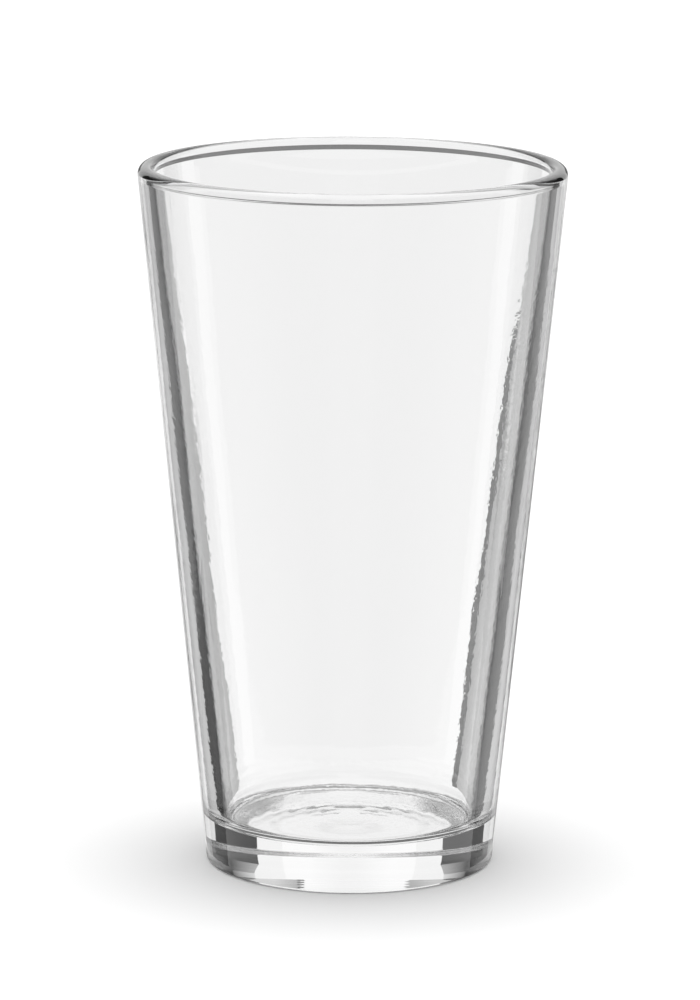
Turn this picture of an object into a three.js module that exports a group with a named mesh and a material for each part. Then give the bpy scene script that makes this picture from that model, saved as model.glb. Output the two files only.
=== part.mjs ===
// A pint mixing glass: one piece of clear pressed glass, a tapered tumbler on a thick foot.
// Millimetres, +Z up, origin at the centre of the face it stands on.
import * as THREE from 'three';

// Driving dimensions
const height = 147.5;
const rimDiameter = 88.9;
const baseDiameter = 60.3; // where the tapered outside would meet the table
const footThickness = 9.3;
const wallUnderLip = 3.2;
const wallAtHeel = 5.0;

// Rounded edges
const lipOuterRadius = 1.9;
const lipInnerRadius = 1.55;
const lipBeadHeight = 2.7; // the rounded lip blends into the wall this far below the brim
const footEdgeWidth = 1.0; // the edge is a slightly flattened quarter round
const footEdgeHeight = 0.7;
const heelRadius = 3.3;

// Underside: a flat ring that bears on the table, around a shallow hollow
const bearingRingWidth = 2.4;
const hollowDepth = 1.0;

// Facets
const aroundSegments = 72;
const arcSteps = 6;
const hollowSteps = 4;

// The outside of the wall is a straight cone. Its lip is rounded inside the cone, so the cone's
// radius at brim height is a little more than the widest point of the rim.
const baseRadius = baseDiameter / 2;
const lipWidestHeight = height - lipOuterRadius;
const outsideSlope = (rimDiameter / 2 - baseRadius) / lipWidestHeight;
const outsideRadiusAt = (z) => baseRadius + outsideSlope * z;

// The inside of the wall is a straight cone too, with a little more taper, so the wall thins upwards.
const heelTop = footThickness + heelRadius;
const neckHeight = height - lipBeadHeight;
const insideAtHeel = outsideRadiusAt(heelTop) - wallAtHeel;
const insideAtNeck = outsideRadiusAt(neckHeight) - wallUnderLip;
const insideSlope = (insideAtNeck - insideAtHeel) / (neckHeight - heelTop);
const insideRadiusAt = (z) => insideAtHeel + insideSlope * (z - heelTop);

// An arc about a centre, from one angle to another, as profile points. With a second radius it is
// part of an ellipse instead of a circle.
function arc(centreR, centreZ, radius, fromAngle, toAngle, steps = arcSteps, radiusZ = radius) {
  const points = [];
  for (let step = 0; step <= steps; step += 1) {
    const angle = fromAngle + ((toAngle - fromAngle) * step) / steps;
    points.push(new THREE.Vector2(centreR + radius * Math.cos(angle), centreZ + radiusZ * Math.sin(angle)));
  }
  return points;
}

// The shallow hollow under the foot: a very flat dome from the axis down to the bearing ring.
function hollow(ringInnerRadius) {
  const domeRadius = (ringInnerRadius ** 2 + hollowDepth ** 2) / (2 * hollowDepth);
  const halfAngle = Math.asin(ringInnerRadius / domeRadius);
  const up = Math.PI / 2;
  const dome = arc(0, hollowDepth - domeRadius, domeRadius, up, up - halfAngle, hollowSteps);
  dome[0].x = 0;
  dome[dome.length - 1].y = 0;
  return dome;
}

// The rounded outer edge of the foot, tangent to the table and to the tapered outside.
function footEdge() {
  const endAngle = -Math.atan((outsideSlope * footEdgeHeight) / footEdgeWidth);
  const endZ = footEdgeHeight * (1 + Math.sin(endAngle));
  const centreR = outsideRadiusAt(endZ) - footEdgeWidth * Math.cos(endAngle);
  return arc(centreR, footEdgeHeight, footEdgeWidth, -Math.PI / 2, endAngle, arcSteps, footEdgeHeight);
}

// The fire-polished lip: an outer and an inner arc that share the brim, then a soft blend back
// to the wall, which is thinner than the lip.
function lip() {
  const tilt = Math.atan(outsideSlope);
  const outerCentreZ = height - lipOuterRadius;
  const outerCentreR = outsideRadiusAt(outerCentreZ) - lipOuterRadius / Math.cos(tilt);
  const outer = arc(outerCentreR, outerCentreZ, lipOuterRadius, -tilt, Math.PI / 2);
  const innerCentreZ = height - lipInnerRadius;
  const inner = arc(outerCentreR, innerCentreZ, lipInnerRadius, Math.PI / 2, Math.PI).slice(1);
  const beadInside = inner[inner.length - 1];
  const neck = new THREE.Vector2(insideAtNeck, neckHeight);
  const blendReach = (beadInside.y - neckHeight) / 2;
  const blend = new THREE.CubicBezierCurve(
    beadInside,
    new THREE.Vector2(beadInside.x, beadInside.y - blendReach),
    new THREE.Vector2(insideRadiusAt(neckHeight + blendReach), neckHeight + blendReach),
    neck,
  );
  return [...outer, ...inner, ...blend.getPoints(arcSteps).slice(1)];
}

// The inner heel: a fillet from the wall to the flat floor of the glass.
function heel() {
  const tilt = Math.atan(insideSlope);
  const centreR = insideRadiusAt(heelTop) - heelRadius / Math.cos(tilt);
  return arc(centreR, heelTop, heelRadius, -tilt, -Math.PI / 2);
}

// Half section of the glass, from the axis under the foot, round the outside and back to the axis.
function halfSection() {
  const edge = footEdge();
  const ringInnerRadius = edge[0].x - bearingRingWidth;
  const floorCentre = new THREE.Vector2(0, footThickness);
  return [...hollow(ringInnerRadius), ...edge, ...lip(), ...heel(), floorCentre];
}

function makeGlassBody() {
  const geometry = new THREE.LatheGeometry(halfSection(), aroundSegments);
  geometry.rotateX(Math.PI / 2);
  const clearGlass = new THREE.MeshStandardMaterial({
    color: 0xf1f3f2,
    roughness: 0.03,
    metalness: 0,
    transparent: true,
    opacity: 0.35,
  });
  const body = new THREE.Mesh(geometry, clearGlass);
  body.name = 'glass_body';
  return body;
}

const mixingGlass = new THREE.Group();
mixingGlass.add(makeGlassBody());

export default mixingGlass;
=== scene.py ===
"""Looks of a clear pint mixing glass: a fine glass mesh in place of the CAD solid, its material, a pale
floor, soft light, and the cards that a studio stands round a glass to draw its edges.
Metres, +Z up, the same frame as the CAD."""

import math
from collections import namedtuple

import bpy
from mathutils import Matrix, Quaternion, Vector, noise


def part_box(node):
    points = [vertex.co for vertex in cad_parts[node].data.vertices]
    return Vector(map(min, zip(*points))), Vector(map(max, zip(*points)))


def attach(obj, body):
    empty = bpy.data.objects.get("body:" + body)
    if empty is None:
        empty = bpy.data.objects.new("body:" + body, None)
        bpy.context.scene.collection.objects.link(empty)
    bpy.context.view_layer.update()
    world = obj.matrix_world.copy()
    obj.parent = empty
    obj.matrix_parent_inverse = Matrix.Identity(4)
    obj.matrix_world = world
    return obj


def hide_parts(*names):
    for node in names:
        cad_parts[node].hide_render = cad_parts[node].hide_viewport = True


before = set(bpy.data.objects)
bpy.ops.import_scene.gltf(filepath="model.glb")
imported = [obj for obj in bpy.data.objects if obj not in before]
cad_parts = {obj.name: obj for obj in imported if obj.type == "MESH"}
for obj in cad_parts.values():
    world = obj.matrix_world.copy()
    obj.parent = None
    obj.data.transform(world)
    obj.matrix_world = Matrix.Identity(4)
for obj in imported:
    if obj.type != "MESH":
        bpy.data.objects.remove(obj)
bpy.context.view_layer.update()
MM = 0.001

# The glass: its height from the frame, and the same section as the CAD part
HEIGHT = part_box("glass_body")[1][2]
RIM_RADIUS = 44.45 * MM
BASE_RADIUS = 30.15 * MM
FOOT_THICKNESS = 9.3 * MM
WALL_UNDER_LIP = 3.2 * MM
WALL_AT_HEEL = 5.0 * MM
LIP_OUTER_RADIUS = 1.9 * MM
LIP_INNER_RADIUS = 1.55 * MM
LIP_BEAD_HEIGHT = 2.7 * MM
FOOT_EDGE_WIDTH = 1.0 * MM
FOOT_EDGE_HEIGHT = 0.7 * MM
HEEL_RADIUS = 3.3 * MM
BEARING_RING_WIDTH = 2.4 * MM
HOLLOW_DEPTH = 1.0 * MM

# Fineness of the mesh: faces round the axis, and along each stretch of the section
AROUND = 240
HOLLOW_STEPS = 30
RING_STEPS = 8
FOOT_EDGE_STEPS = 14
OUTER_WALL_STEPS = 70
ROUND_STEPS = 18
INNER_WALL_STEPS = 130
FLOOR_STEPS = 50

# Unevenness of the pressed surface: waves per metre, and how far they stand off the section
SLOW_WAVES = (70, 70, 38)
QUICK_WAVES = (150, 150, 90)
QUICK_SHIFT = 7  # moves the quick waves along x, so that they don't follow the slow ones
INNER_SLOW_HEIGHT = 0.040 * MM
INNER_QUICK_HEIGHT = 0.008 * MM
OUTER_SLOW_HEIGHT = 0.008 * MM
TOOL_RING_SPACING = 3.3 * MM
TOOL_RING_HEIGHT = 0.018 * MM
TOOL_RING_FADE = 4 * MM  # the rings die out this close to the axis
BEARING_LEVEL = 0.05 * MM  # what is lower than this stays perfectly smooth and flat
FLOOR_BAND = 0.1 * MM  # the floor of the glass, as far as the tool rings are concerned
POLISHED_LIP = 3 * MM  # the waves die out this close to the brim

# Glass material
GLASS_IOR = 1.52
HAZE_SCALE = 90
HAZE_DETAIL = 3
HAZE_RANGE = (0.45, 0.8)  # the part of the noise that shows as haze
HAZE_ROUGHNESS = 0.012
STIPPLE_ROUGHNESS = 0.12
STIPPLE_LEVEL = 0.02 * MM
PEEL_SCALE = 600
PEEL_DETAIL = 2
PEEL_HEIGHT = 0.011 * MM
PEEL_OUTSIDE = 0.05  # share of the peel that the mould leaves outside

# Floor
FLOOR_HALF_SIZE = 6.0
FLOOR_LEVEL = -0.05 * MM
FLOOR_WHITE = 0.9

# Camera
CAMERA_DISTANCE = 1.108
CAMERA_ELEVATION = math.radians(11.77)
CAMERA_PIVOT_HEIGHT = 74.4 * MM
CAMERA_AIM = Vector((-0.236 * MM, 0, 76.81 * MM))
CAMERA_ROLL = math.radians(0.308)
CAMERA_CLIP = (0.05, 30)
FOCAL_LENGTH = 190.8
SENSOR_WIDTH = 36

# Overhead lamp
LAMP_HEIGHT = 2
LAMP_OFFSET = 0.1
LAMP_TILT = math.radians(-3)
LAMP_SPREAD = math.radians(22)

# Light paths: one that is caught inside the foot bounces many times before it comes out
GLASS_BOUNCES = 64
DIFFUSE_BOUNCES = 3

# Studio cards. Azimuths are degrees from straight behind the glass, and count outwards on either side.
# Elevations are degrees above the middle of the glass. Tones are strengths of white light.
TENT_RADIUS = 8.0
LAYER_GAP = 0.1  # each layer of cards stands this far inside the one before
CARD_FACE = 2  # a card has one face for about every two degrees
TENT_BOTTOM = -60
TENT_TOP = 60
DOME_TOP = 89
BACKDROP = 0.925
HORIZON = -9.5
WING = (2, 11)
BRIGHT = (11, 19)
PALE_END = 40
GREY_SIDES = {"left": (16.5, 26, 0.42, 0.6), "right": (14, 22, 0.45, 0.68)}  # start, middle, dark, pale

# The black flags: azimuths of their edges, the elevations between their stretches, and their tones
FLAG_INNER = {"left": (39.4, 34, 29), "right": (35, 31, 28.5)}  # far from the horizon, bend, waist
FLAG_INNER_ABOVE = 32
FLAG_SPLIT = 46  # above the horizon the flags are in two halves that meet here
FLAG_OUTER_LOW = 64
FLAG_OUTER_WAIST = 57
FLAG_OUTER_DARK = 60
FLAG_OUTER = 75
LEAN_LEVEL = -22
BEND_LEVEL = -18
WAIST_LEVEL = -14
DARK_LEVEL = 3
WIDE_LEVEL = 6
RISE_LEVEL = 15
INNER_TOP_LEVEL = 22
OUTER_TOP_LEVEL = 32
FLAG_TONES = {"left": (0.03, 0.15, 0.11), "right": (0.24, 0.24, 0.03)}  # deep, mist, edge
FLAG_BLACK = 0.05

# The dim room in front of the glass, and a thin dark card that is only on the right
FRONT_LEVELS = (-8, 38, 64)
FRONT_TOP_END = 166
FRONT_TONE = 0.3
FRONT_TOP_TONE = 0.03
THIN_CARD = (12, 14)
THIN_LEVELS = (-19, HORIZON - 2)
THIN_TONE = 0.12

# The strip behind the brim
STRIP_RADIUS = 0.06
STRIP_HALF_WIDTH = 62
STRIP_ELEVATIONS = (-4.3, 1.5)
STRIP_TONE = 0.2

# What the glass sees of the table: radius in mm and tone. The two dark rings are the shadow inside the
# bearing ring and the contact shadow at its outer edge.
TABLE_TONES = (
    (0, 0.88), (3, 0.84), (6, 0.76), (8, 0.88), (14.5, 0.88), (16, 0.76), (17.5, 0.86),
    (21.6, 0.84), (22.4, 0.12), (27.6, 0.12), (28.0, 0.9), (29.2, 0.9), (29.7, 0.14),
    (31.0, 0.2), (32.2, 0.6), (33.2, 0.9),
)
TABLE_CARD_LEVEL = -0.03 * MM
TABLE_CARD_SIDES = 96

Card = namedtuple("Card", "name layer lower upper elevations tones")

OUTSIDE_SLOPE = (RIM_RADIUS - BASE_RADIUS) / (HEIGHT - LIP_OUTER_RADIUS)
HEEL_TOP = FOOT_THICKNESS + HEEL_RADIUS
NECK_HEIGHT = HEIGHT - LIP_BEAD_HEIGHT


def outside_radius(z):
    return BASE_RADIUS + OUTSIDE_SLOPE * z


INSIDE_AT_HEEL = outside_radius(HEEL_TOP) - WALL_AT_HEEL
INSIDE_AT_NECK = outside_radius(NECK_HEIGHT) - WALL_UNDER_LIP
INSIDE_SLOPE = (INSIDE_AT_NECK - INSIDE_AT_HEEL) / (NECK_HEIGHT - HEEL_TOP)


def inside_radius(z):
    return INSIDE_AT_HEEL + INSIDE_SLOPE * (z - HEEL_TOP)


# ---------------------------------------------------------------- section of the glass

def arc(centre_r, centre_z, radius, start, end, steps, radius_z=None):
    """Points of an arc in the half section, from one angle to another; part of an ellipse with radius_z."""
    if radius_z is None:
        radius_z = radius
    points = []
    for step in range(steps + 1):
        angle = start + (end - start) * step / steps
        points.append((centre_r + radius * math.cos(angle), centre_z + radius_z * math.sin(angle)))
    return points


def straight(start, end, steps):
    return [
        (start[0] + (end[0] - start[0]) * step / steps, start[1] + (end[1] - start[1]) * step / steps)
        for step in range(steps + 1)
    ]


def bezier(a, b, c, d, steps):
    points = []
    for step in range(steps + 1):
        t = step / steps
        weights = ((1 - t) ** 3, 3 * t * (1 - t) ** 2, 3 * t * t * (1 - t), t ** 3)
        points.append(tuple(sum(w * p[k] for w, p in zip(weights, (a, b, c, d))) for k in (0, 1)))
    return points


def foot_edge():
    """The rounded outer edge of the foot, tangent to the table and to the tapered outside."""
    end_angle = -math.atan(OUTSIDE_SLOPE * FOOT_EDGE_HEIGHT / FOOT_EDGE_WIDTH)
    end_z = FOOT_EDGE_HEIGHT * (1 + math.sin(end_angle))
    centre_r = outside_radius(end_z) - FOOT_EDGE_WIDTH * math.cos(end_angle)
    return arc(
        centre_r, FOOT_EDGE_HEIGHT, FOOT_EDGE_WIDTH, -math.pi / 2, end_angle, FOOT_EDGE_STEPS,
        radius_z=FOOT_EDGE_HEIGHT
    )


def underside(outer_r):
    """The shallow hollow under the foot, from the axis outwards, and the flat bearing ring."""
    ring_r = outer_r - BEARING_RING_WIDTH
    dome_radius = (ring_r ** 2 + HOLLOW_DEPTH ** 2) / (2 * HOLLOW_DEPTH)
    half_dome = math.asin(ring_r / dome_radius)
    up = math.pi / 2
    hollow = arc(0, HOLLOW_DEPTH - dome_radius, dome_radius, up, up - half_dome, HOLLOW_STEPS)
    return hollow, straight((ring_r, 0), (outer_r, 0), RING_STEPS)


def lip():
    """The outer and the inner round of the lip, and its blend into the thinner wall below it."""
    tilt = math.atan(OUTSIDE_SLOPE)
    outer_z = HEIGHT - LIP_OUTER_RADIUS
    centre_r = outside_radius(outer_z) - LIP_OUTER_RADIUS / math.cos(tilt)
    outer = arc(centre_r, outer_z, LIP_OUTER_RADIUS, -tilt, math.pi / 2, ROUND_STEPS)
    inner_z = HEIGHT - LIP_INNER_RADIUS
    inner = arc(centre_r, inner_z, LIP_INNER_RADIUS, math.pi / 2, math.pi, ROUND_STEPS)
    bead = inner[-1]
    neck = (INSIDE_AT_NECK, NECK_HEIGHT)
    reach = (bead[1] - NECK_HEIGHT) / 2
    bead_handle = (bead[0], bead[1] - reach)
    neck_handle = (inside_radius(NECK_HEIGHT + reach), NECK_HEIGHT + reach)
    return outer, inner, bezier(bead, bead_handle, neck_handle, neck, ROUND_STEPS)


def heel():
    """The fillet from the inside of the wall to the floor of the glass."""
    tilt = math.atan(INSIDE_SLOPE)
    centre_r = inside_radius(HEEL_TOP) - HEEL_RADIUS / math.cos(tilt)
    return arc(centre_r, HEEL_TOP, HEEL_RADIUS, -tilt, -math.pi / 2, ROUND_STEPS)


def section():
    """Half section from the axis under the foot, round the outside, back to the axis above the foot."""
    edge = foot_edge()
    hollow, ring = underside(edge[0][0])
    lip_outer, lip_inner, blend = lip()
    inner_heel = heel()
    outer_wall = straight(edge[-1], lip_outer[0], OUTER_WALL_STEPS)
    inner_wall = straight(blend[-1], inner_heel[0], INNER_WALL_STEPS)
    floor = straight(inner_heel[-1], (0, FOOT_THICKNESS), FLOOR_STEPS)
    outside = (hollow, ring, edge, outer_wall, lip_outer)
    inside = (lip_inner, blend, inner_wall, inner_heel, floor)
    outline = hollow[:1]
    for stretch in outside + inside:
        outline += stretch[1:]
    return outline


# ---------------------------------------------------------------- the glass mesh

def waves(point, per_metre, shift=0):
    """Smooth noise between about -1 and 1."""
    x, y, z = point
    return noise.noise(Vector((x * per_metre[0] + shift, y * per_metre[1], z * per_metre[2])))


def ripple(point, inner):
    """How far the surface stands off the ideal section, in metres: the plunger's mark is stronger."""
    slow = waves(point, SLOW_WAVES)
    if not inner:
        return OUTER_SLOW_HEIGHT * slow
    return INNER_SLOW_HEIGHT * slow + INNER_QUICK_HEIGHT * waves(point, QUICK_WAVES, QUICK_SHIFT)


def tool_rings(r):
    """Concentric tool marks on the floor of the glass, fading out at the axis."""
    turns = 2 * math.pi * r / TOOL_RING_SPACING
    return TOOL_RING_HEIGHT * math.cos(turns) * min(1, r / TOOL_RING_FADE)


def surface_point(outline, index, angle):
    """A point of the glass surface with its small ripples."""
    r, z = outline[index]
    before = outline[max(index - 1, 0)]
    after = outline[min(index + 1, len(outline) - 1)]
    along = Vector((after[0] - before[0], after[1] - before[1])).normalized()
    normal = Vector((along.y, -along.x))
    x, y = r * math.cos(angle), r * math.sin(angle)
    if z < BEARING_LEVEL:
        return x, y, z
    inner = index > len(outline) // 2
    off = ripple((x, y, z), inner)
    if inner and z < FOOT_THICKNESS + FLOOR_BAND:
        off += tool_rings(r)
    near_lip = max(0.0, 1 - abs(z - HEIGHT) / POLISHED_LIP)
    off *= 1 - near_lip
    out = r + off * normal.x
    return out * math.cos(angle), out * math.sin(angle), z + off * normal.y


def glass_faces(rows):
    """Quads between the rings of points, and a fan of triangles to each of the two points on the axis."""
    faces = []
    for row in range(rows - 1):
        for column in range(AROUND):
            a = row * AROUND + column
            b = row * AROUND + (column + 1) % AROUND
            faces.append((a, b, b + AROUND, a + AROUND))
    bottom = rows * AROUND
    top = bottom + 1
    last = (rows - 1) * AROUND
    for column in range(AROUND):
        following = (column + 1) % AROUND
        faces.append((bottom, following, column))
        faces.append((top, last + column, last + following))
    return faces


def make_glass():
    outline = section()
    rows = len(outline) - 2
    verts = [
        surface_point(outline, index, 2 * math.pi * column / AROUND)
        for index in range(1, rows + 1)
        for column in range(AROUND)
    ]
    verts += [(0, 0, outline[0][1]), (0, 0, outline[-1][1])]
    mesh = bpy.data.meshes.new("mixing_glass")
    mesh.from_pydata(verts, [], glass_faces(rows))
    mesh.shade_smooth()
    mesh.update()
    plunger = mesh.attributes.new("plunger", "FLOAT", "POINT")
    inside = [1.0 if index // AROUND > len(outline) // 2 else 0.0 for index in range(len(verts))]
    plunger.data.foreach_set("value", inside)
    glass = bpy.data.objects.new("mixing_glass", mesh)
    bpy.context.scene.collection.objects.link(glass)
    return glass


# ---------------------------------------------------------------- materials

def new_material(name):
    material = bpy.data.materials.new(name)
    material.use_nodes = True
    material.node_tree.nodes.clear()
    return material, material.node_tree.nodes, material.node_tree.links


def add_noise(nodes, links, place, scale, detail):
    texture = nodes.new("ShaderNodeTexNoise")
    texture.inputs["Scale"].default_value = scale
    texture.inputs["Detail"].default_value = detail
    links.new(place.outputs["Object"], texture.inputs["Vector"])
    return texture.outputs["Fac"]


def add_range(nodes, links, value, wanted, given=(0.0, 1.0)):
    stretch = nodes.new("ShaderNodeMapRange")
    stretch.inputs["From Min"].default_value = given[0]
    stretch.inputs["From Max"].default_value = given[1]
    stretch.inputs["To Min"].default_value = wanted[0]
    stretch.inputs["To Max"].default_value = wanted[1]
    links.new(value, stretch.inputs["Value"])
    return stretch.outputs["Result"]


def glass_roughness(nodes, links, place):
    """Fire-polished with a trace of haze, and stippled on the flat ring that touches the table."""
    haze = add_noise(nodes, links, place, HAZE_SCALE, HAZE_DETAIL)
    polish = add_range(nodes, links, haze, (0.0, HAZE_ROUGHNESS), HAZE_RANGE)
    split = nodes.new("ShaderNodeSeparateXYZ")
    links.new(place.outputs["Object"], split.inputs["Vector"])
    on_ring = nodes.new("ShaderNodeMath")
    on_ring.operation = "LESS_THAN"
    on_ring.inputs[1].default_value = STIPPLE_LEVEL
    links.new(split.outputs["Z"], on_ring.inputs[0])
    rough = nodes.new("ShaderNodeMix")
    rough.inputs["B"].default_value = STIPPLE_ROUGHNESS
    links.new(on_ring.outputs["Value"], rough.inputs["Factor"])
    links.new(polish, rough.inputs["A"])
    return rough.outputs["Result"]


def glass_peel(nodes, links, place):
    """The plunger leaves a fine orange peel on the inside, the mould a much fainter one outside."""
    peel = add_noise(nodes, links, place, PEEL_SCALE, PEEL_DETAIL)
    plunger = nodes.new("ShaderNodeAttribute")
    plunger.attribute_name = "plunger"
    bump = nodes.new("ShaderNodeBump")
    bump.inputs["Distance"].default_value = PEEL_HEIGHT
    strength = add_range(nodes, links, plunger.outputs["Fac"], (PEEL_OUTSIDE, 1.0))
    links.new(strength, bump.inputs["Strength"])
    links.new(peel, bump.inputs["Height"])
    return bump.outputs["Normal"]


def clear_glass():
    material, nodes, links = new_material("clear_glass")
    out = nodes.new("ShaderNodeOutputMaterial")
    shader = nodes.new("ShaderNodeBsdfPrincipled")
    shader.inputs["Base Color"].default_value = (1.0, 1.0, 1.0, 1)
    shader.inputs["Transmission Weight"].default_value = 1.0
    shader.inputs["IOR"].default_value = GLASS_IOR
    place = nodes.new("ShaderNodeTexCoord")
    links.new(glass_roughness(nodes, links, place), shader.inputs["Roughness"])
    links.new(glass_peel(nodes, links, place), shader.inputs["Normal"])
    links.new(shader.outputs["BSDF"], out.inputs["Surface"])
    return material


def white_floor():
    material, nodes, links = new_material("white_floor")
    out = nodes.new("ShaderNodeOutputMaterial")
    shader = nodes.new("ShaderNodeBsdfDiffuse")
    shader.inputs["Color"].default_value = (FLOOR_WHITE, FLOOR_WHITE, FLOOR_WHITE, 1)
    links.new(shader.outputs["BSDF"], out.inputs["Surface"])
    return material


def studio_card():
    """Plain glowing card; each corner of a card carries its own tone."""
    material, nodes, links = new_material("studio_card")
    out = nodes.new("ShaderNodeOutputMaterial")
    shader = nodes.new("ShaderNodeEmission")
    tone = nodes.new("ShaderNodeAttribute")
    tone.attribute_name = "tone"
    links.new(tone.outputs["Fac"], shader.inputs["Strength"])
    links.new(shader.outputs["Emission"], out.inputs["Surface"])
    material.cycles.emission_sampling = "NONE"
    return material


# ---------------------------------------------------------------- studio

def mesh_object(name, verts, faces, material):
    mesh = bpy.data.meshes.new(name)
    mesh.from_pydata(verts, [], faces)
    mesh.materials.append(material)
    thing = bpy.data.objects.new(name, mesh)
    bpy.context.scene.collection.objects.link(thing)
    return thing


def make_floor():
    """White floor for the camera and the shadow. The glass looks past it, to the table card."""
    corners = [
        (x * FLOOR_HALF_SIZE, y * FLOOR_HALF_SIZE, FLOOR_LEVEL)
        for x, y in ((-1, -1), (1, -1), (1, 1), (-1, 1))
    ]
    floor = mesh_object("floor", corners, [(0, 1, 2, 3)], white_floor())
    floor.visible_transmission = False
    floor.visible_glossy = False


def toned_card(name, verts, shades, faces, rig, material):
    """A card that only the glass sees: it lights nothing else and the camera looks past it."""
    card = mesh_object(name, verts, faces, material)
    tone = card.data.attributes.new("tone", "FLOAT", "POINT")
    tone.data.foreach_set("value", shades)
    card.parent = rig
    card.visible_camera = False
    card.visible_diffuse = False
    card.visible_shadow = False
    card.visible_volume_scatter = False


def grid_faces(rows, columns):
    width = columns + 1
    return [
        (row * width + k, row * width + k + 1, (row + 1) * width + k + 1, (row + 1) * width + k)
        for row in range(rows)
        for k in range(columns)
    ]


def between(ends, share):
    return ends[0] + (ends[1] - ends[0]) * share


def curved_card(card, radius, height, rig, material):
    """A card bent round the glass. lower and upper are the azimuths of its inner and outer edge at its
    lower and upper elevation; tones run from the inner to the outer edge."""
    columns = max(1, round(abs(card.lower[1] - card.lower[0]) / CARD_FACE))
    rows = max(1, round(abs(card.elevations[1] - card.elevations[0]) / CARD_FACE))
    verts, shades = [], []
    for row in range(rows + 1):
        rise = row / rows
        el = math.radians(between(card.elevations, rise))
        inner = between((card.lower[0], card.upper[0]), rise)
        outer = between((card.lower[1], card.upper[1]), rise)
        for column in range(columns + 1):
            share = column / columns
            az = math.radians(between((inner, outer), share))
            x, y = math.sin(az) * math.cos(el), math.cos(az) * math.cos(el)
            verts.append((radius * x, radius * y, height + radius * math.sin(el)))
            shades.append(between(card.tones, share))
    toned_card(card.name, verts, shades, grid_faces(rows, columns), rig, material)


def upright(name, layer, azimuths, elevations, tones):
    """A card whose edges don't lean."""
    return Card(name, layer, azimuths, azimuths, elevations, tones)


def pale_cards(word):
    """Beside the backdrop: a brighter wing, then grey below the horizon, as a table edge would show."""
    start, middle, dark, pale = GREY_SIDES[word]
    below = (TENT_BOTTOM, HORIZON)
    return [
        upright("wing", 1, WING, (TENT_BOTTOM, TENT_TOP), (BACKDROP, 1.0)),
        upright("bright", 1, BRIGHT, (TENT_BOTTOM, TENT_TOP), (1.0, 1.0)),
        upright("grey", 2, (start, middle), below, (dark, pale)),
        upright("pale", 2, (middle, PALE_END), below, (pale, pale)),
    ]


def flag_cards(word):
    """The black flag that draws the dark line in the wall. From the bottom up, its inner edge bends in
    to a waist and out again."""
    deep, mist, edge = FLAG_TONES[word]
    far, bend, waist = FLAG_INNER[word]
    low_base = (far, FLAG_OUTER_LOW)
    low_bend = (bend, FLAG_OUTER_LOW)
    waist_bend = (bend, FLAG_OUTER_WAIST)
    at_waist = (waist, FLAG_OUTER_WAIST)
    above_waist = (waist, FLAG_SPLIT)
    above = (FLAG_INNER_ABOVE, FLAG_SPLIT)
    far_above = (far, FLAG_SPLIT)
    outer_half = (FLAG_SPLIT, FLAG_OUTER)
    return [
        upright("flag_low", 3, low_base, (TENT_BOTTOM, LEAN_LEVEL), (deep / 2, FLAG_BLACK)),
        Card("flag_lean", 3, low_base, low_bend, (LEAN_LEVEL, BEND_LEVEL), (deep, FLAG_BLACK)),
        Card("flag_turn", 3, waist_bend, at_waist, (BEND_LEVEL, WAIST_LEVEL), (mist, FLAG_BLACK)),
        upright("flag_side", 3, at_waist, (WAIST_LEVEL, HORIZON), (mist, FLAG_BLACK)),
        upright("flag_mid", 3, at_waist, (HORIZON, DARK_LEVEL), (edge, FLAG_BLACK)),
        upright("flag_dark", 3, (waist, FLAG_OUTER_DARK), (DARK_LEVEL, RISE_LEVEL), (0.06, 0.02)),
        upright("flag_wide", 3, (FLAG_OUTER_DARK, FLAG_OUTER), (WIDE_LEVEL, RISE_LEVEL), (0.12, 0.15)),
        upright("flag_wide_rise", 3, outer_half, (RISE_LEVEL, OUTER_TOP_LEVEL), (0.03, 0.2)),
        upright("flag_wide_top", 3, outer_half, (OUTER_TOP_LEVEL, TENT_TOP), (0.1, 0.45)),
        Card("flag_rise", 3, above_waist, above, (RISE_LEVEL, INNER_TOP_LEVEL), (0.42, 0.01)),
        Card("flag_top", 3, above, far_above, (INNER_TOP_LEVEL, TENT_TOP), (0.7, 0.15)),
    ]


def front_cards():
    """The dim room behind the camera."""
    bottom, split, top = FRONT_LEVELS
    return [
        upright("front", 1, (FLAG_OUTER, 180), (bottom, split), (FRONT_TONE, FRONT_TONE)),
        upright("front_top", 1, (FLAG_OUTER, FRONT_TOP_END), (split, top), (FRONT_TOP_TONE, FRONT_TOP_TONE)),
    ]


def on_side(card, word):
    """The card on the left or the right of the glass: azimuths to the left are negative."""
    side = -1 if word == "left" else 1
    return card._replace(
        name=f"{card.name}_{word}",
        lower=[side * az for az in card.lower],
        upper=[side * az for az in card.upper],
    )


def make_tent(rig, material):
    """Light tent: a pale dome, brighter wings, grey sides below the horizon and black flags."""
    cards = [upright("dome", 0, (-180, 180), (-DOME_TOP, DOME_TOP), (BACKDROP, BACKDROP))]
    for word in ("left", "right"):
        cards += [on_side(card, word) for card in pale_cards(word) + flag_cards(word) + front_cards()]
    cards.append(upright("edge_right", 3, THIN_CARD, THIN_LEVELS, (THIN_TONE, THIN_TONE)))
    for card in cards:
        curved_card(card, TENT_RADIUS - LAYER_GAP * card.layer, HEIGHT / 2, rig, material)


def make_strip(rig, material):
    """A grey strip just behind the brim, which draws the dark line in the far side of the lip."""
    azimuths = (-STRIP_HALF_WIDTH, STRIP_HALF_WIDTH)
    strip = upright("strip", 0, azimuths, STRIP_ELEVATIONS, (STRIP_TONE, STRIP_TONE))
    curved_card(strip, STRIP_RADIUS, HEIGHT, rig, material)


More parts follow.
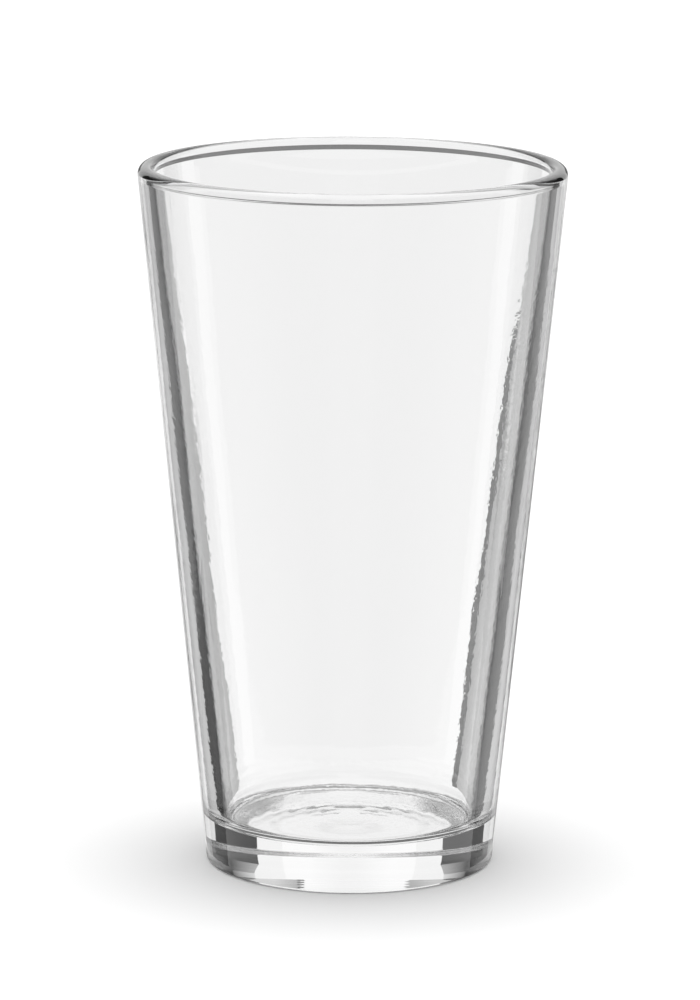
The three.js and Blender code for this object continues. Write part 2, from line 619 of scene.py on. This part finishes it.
def make_table_card(rig, material):
    """What the glass sees of the table it stands on: pale, with the shadows under its foot."""
    verts, shades = [], []
    for r, tone in TABLE_TONES:
        for column in range(TABLE_CARD_SIDES + 1):
            angle = 2 * math.pi * column / TABLE_CARD_SIDES
            verts.append((r * MM * math.cos(angle), r * MM * math.sin(angle), TABLE_CARD_LEVEL))
            shades.append(tone)
    faces = grid_faces(len(TABLE_TONES) - 1, TABLE_CARD_SIDES)
    toned_card("table_card", verts, shades, faces, rig, material)


def make_light():
    """White all round, and a wide soft lamp overhead that only the floor sees."""
    world = bpy.data.worlds.new("studio")
    world.use_nodes = True
    background = world.node_tree.nodes["Background"]
    background.inputs["Color"].default_value = (1, 1, 1, 1)
    background.inputs["Strength"].default_value = 1.0
    bpy.context.scene.world = world

    lamp = bpy.data.lights.new("overhead", "SUN")
    lamp.angle = LAMP_SPREAD
    lamp.energy = 1.0
    overhead = bpy.data.objects.new("overhead", lamp)
    overhead.location = (0, LAMP_OFFSET, LAMP_HEIGHT)
    overhead.rotation_euler = (LAMP_TILT, 0, 0)
    overhead.visible_glossy = False
    overhead.visible_transmission = False
    bpy.context.scene.collection.objects.link(overhead)


def make_camera():
    data = bpy.data.cameras.new("camera")
    data.sensor_width = SENSOR_WIDTH
    data.lens = FOCAL_LENGTH
    data.clip_start, data.clip_end = CAMERA_CLIP
    camera = bpy.data.objects.new("camera", data)
    bpy.context.scene.collection.objects.link(camera)
    back = CAMERA_DISTANCE * math.cos(CAMERA_ELEVATION)
    rise = CAMERA_DISTANCE * math.sin(CAMERA_ELEVATION)
    camera.location = (0, -back, CAMERA_PIVOT_HEIGHT + rise)
    camera.rotation_mode = "QUATERNION"
    roll = Quaternion((0, 0, 1), CAMERA_ROLL)
    camera.rotation_quaternion = (CAMERA_AIM - camera.location).to_track_quat("-Z", "Y") @ roll
    bpy.context.scene.camera = camera
    return camera


def make_rig(camera):
    """The cards turn about the glass's axis with the camera, as if the glass stood on a turntable."""
    rig = bpy.data.objects.new("studio_rig", None)
    bpy.context.scene.collection.objects.link(rig)
    turn = rig.constraints.new("LOCKED_TRACK")
    turn.target = camera
    turn.track_axis = "TRACK_NEGATIVE_Y"
    turn.lock_axis = "LOCK_Z"
    return rig


def set_light_paths():
    scene = bpy.context.scene
    scene.view_settings.view_transform = "Standard"
    scene.view_settings.look = "None"
    cycles = scene.cycles
    cycles.max_bounces = GLASS_BOUNCES
    cycles.transmission_bounces = GLASS_BOUNCES
    cycles.glossy_bounces = GLASS_BOUNCES
    cycles.diffuse_bounces = DIFFUSE_BOUNCES
    cycles.caustics_reflective = True
    cycles.caustics_refractive = True
    cycles.use_denoising = True


camera = make_camera()
make_light()
make_floor()
glass = make_glass()
glass.data.materials.append(clear_glass())
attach(glass, "root")
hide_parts("glass_body")
rig = make_rig(camera)
card_material = studio_card()
make_tent(rig, card_material)
make_strip(rig, card_material)
make_table_card(rig, card_material)
set_light_paths()
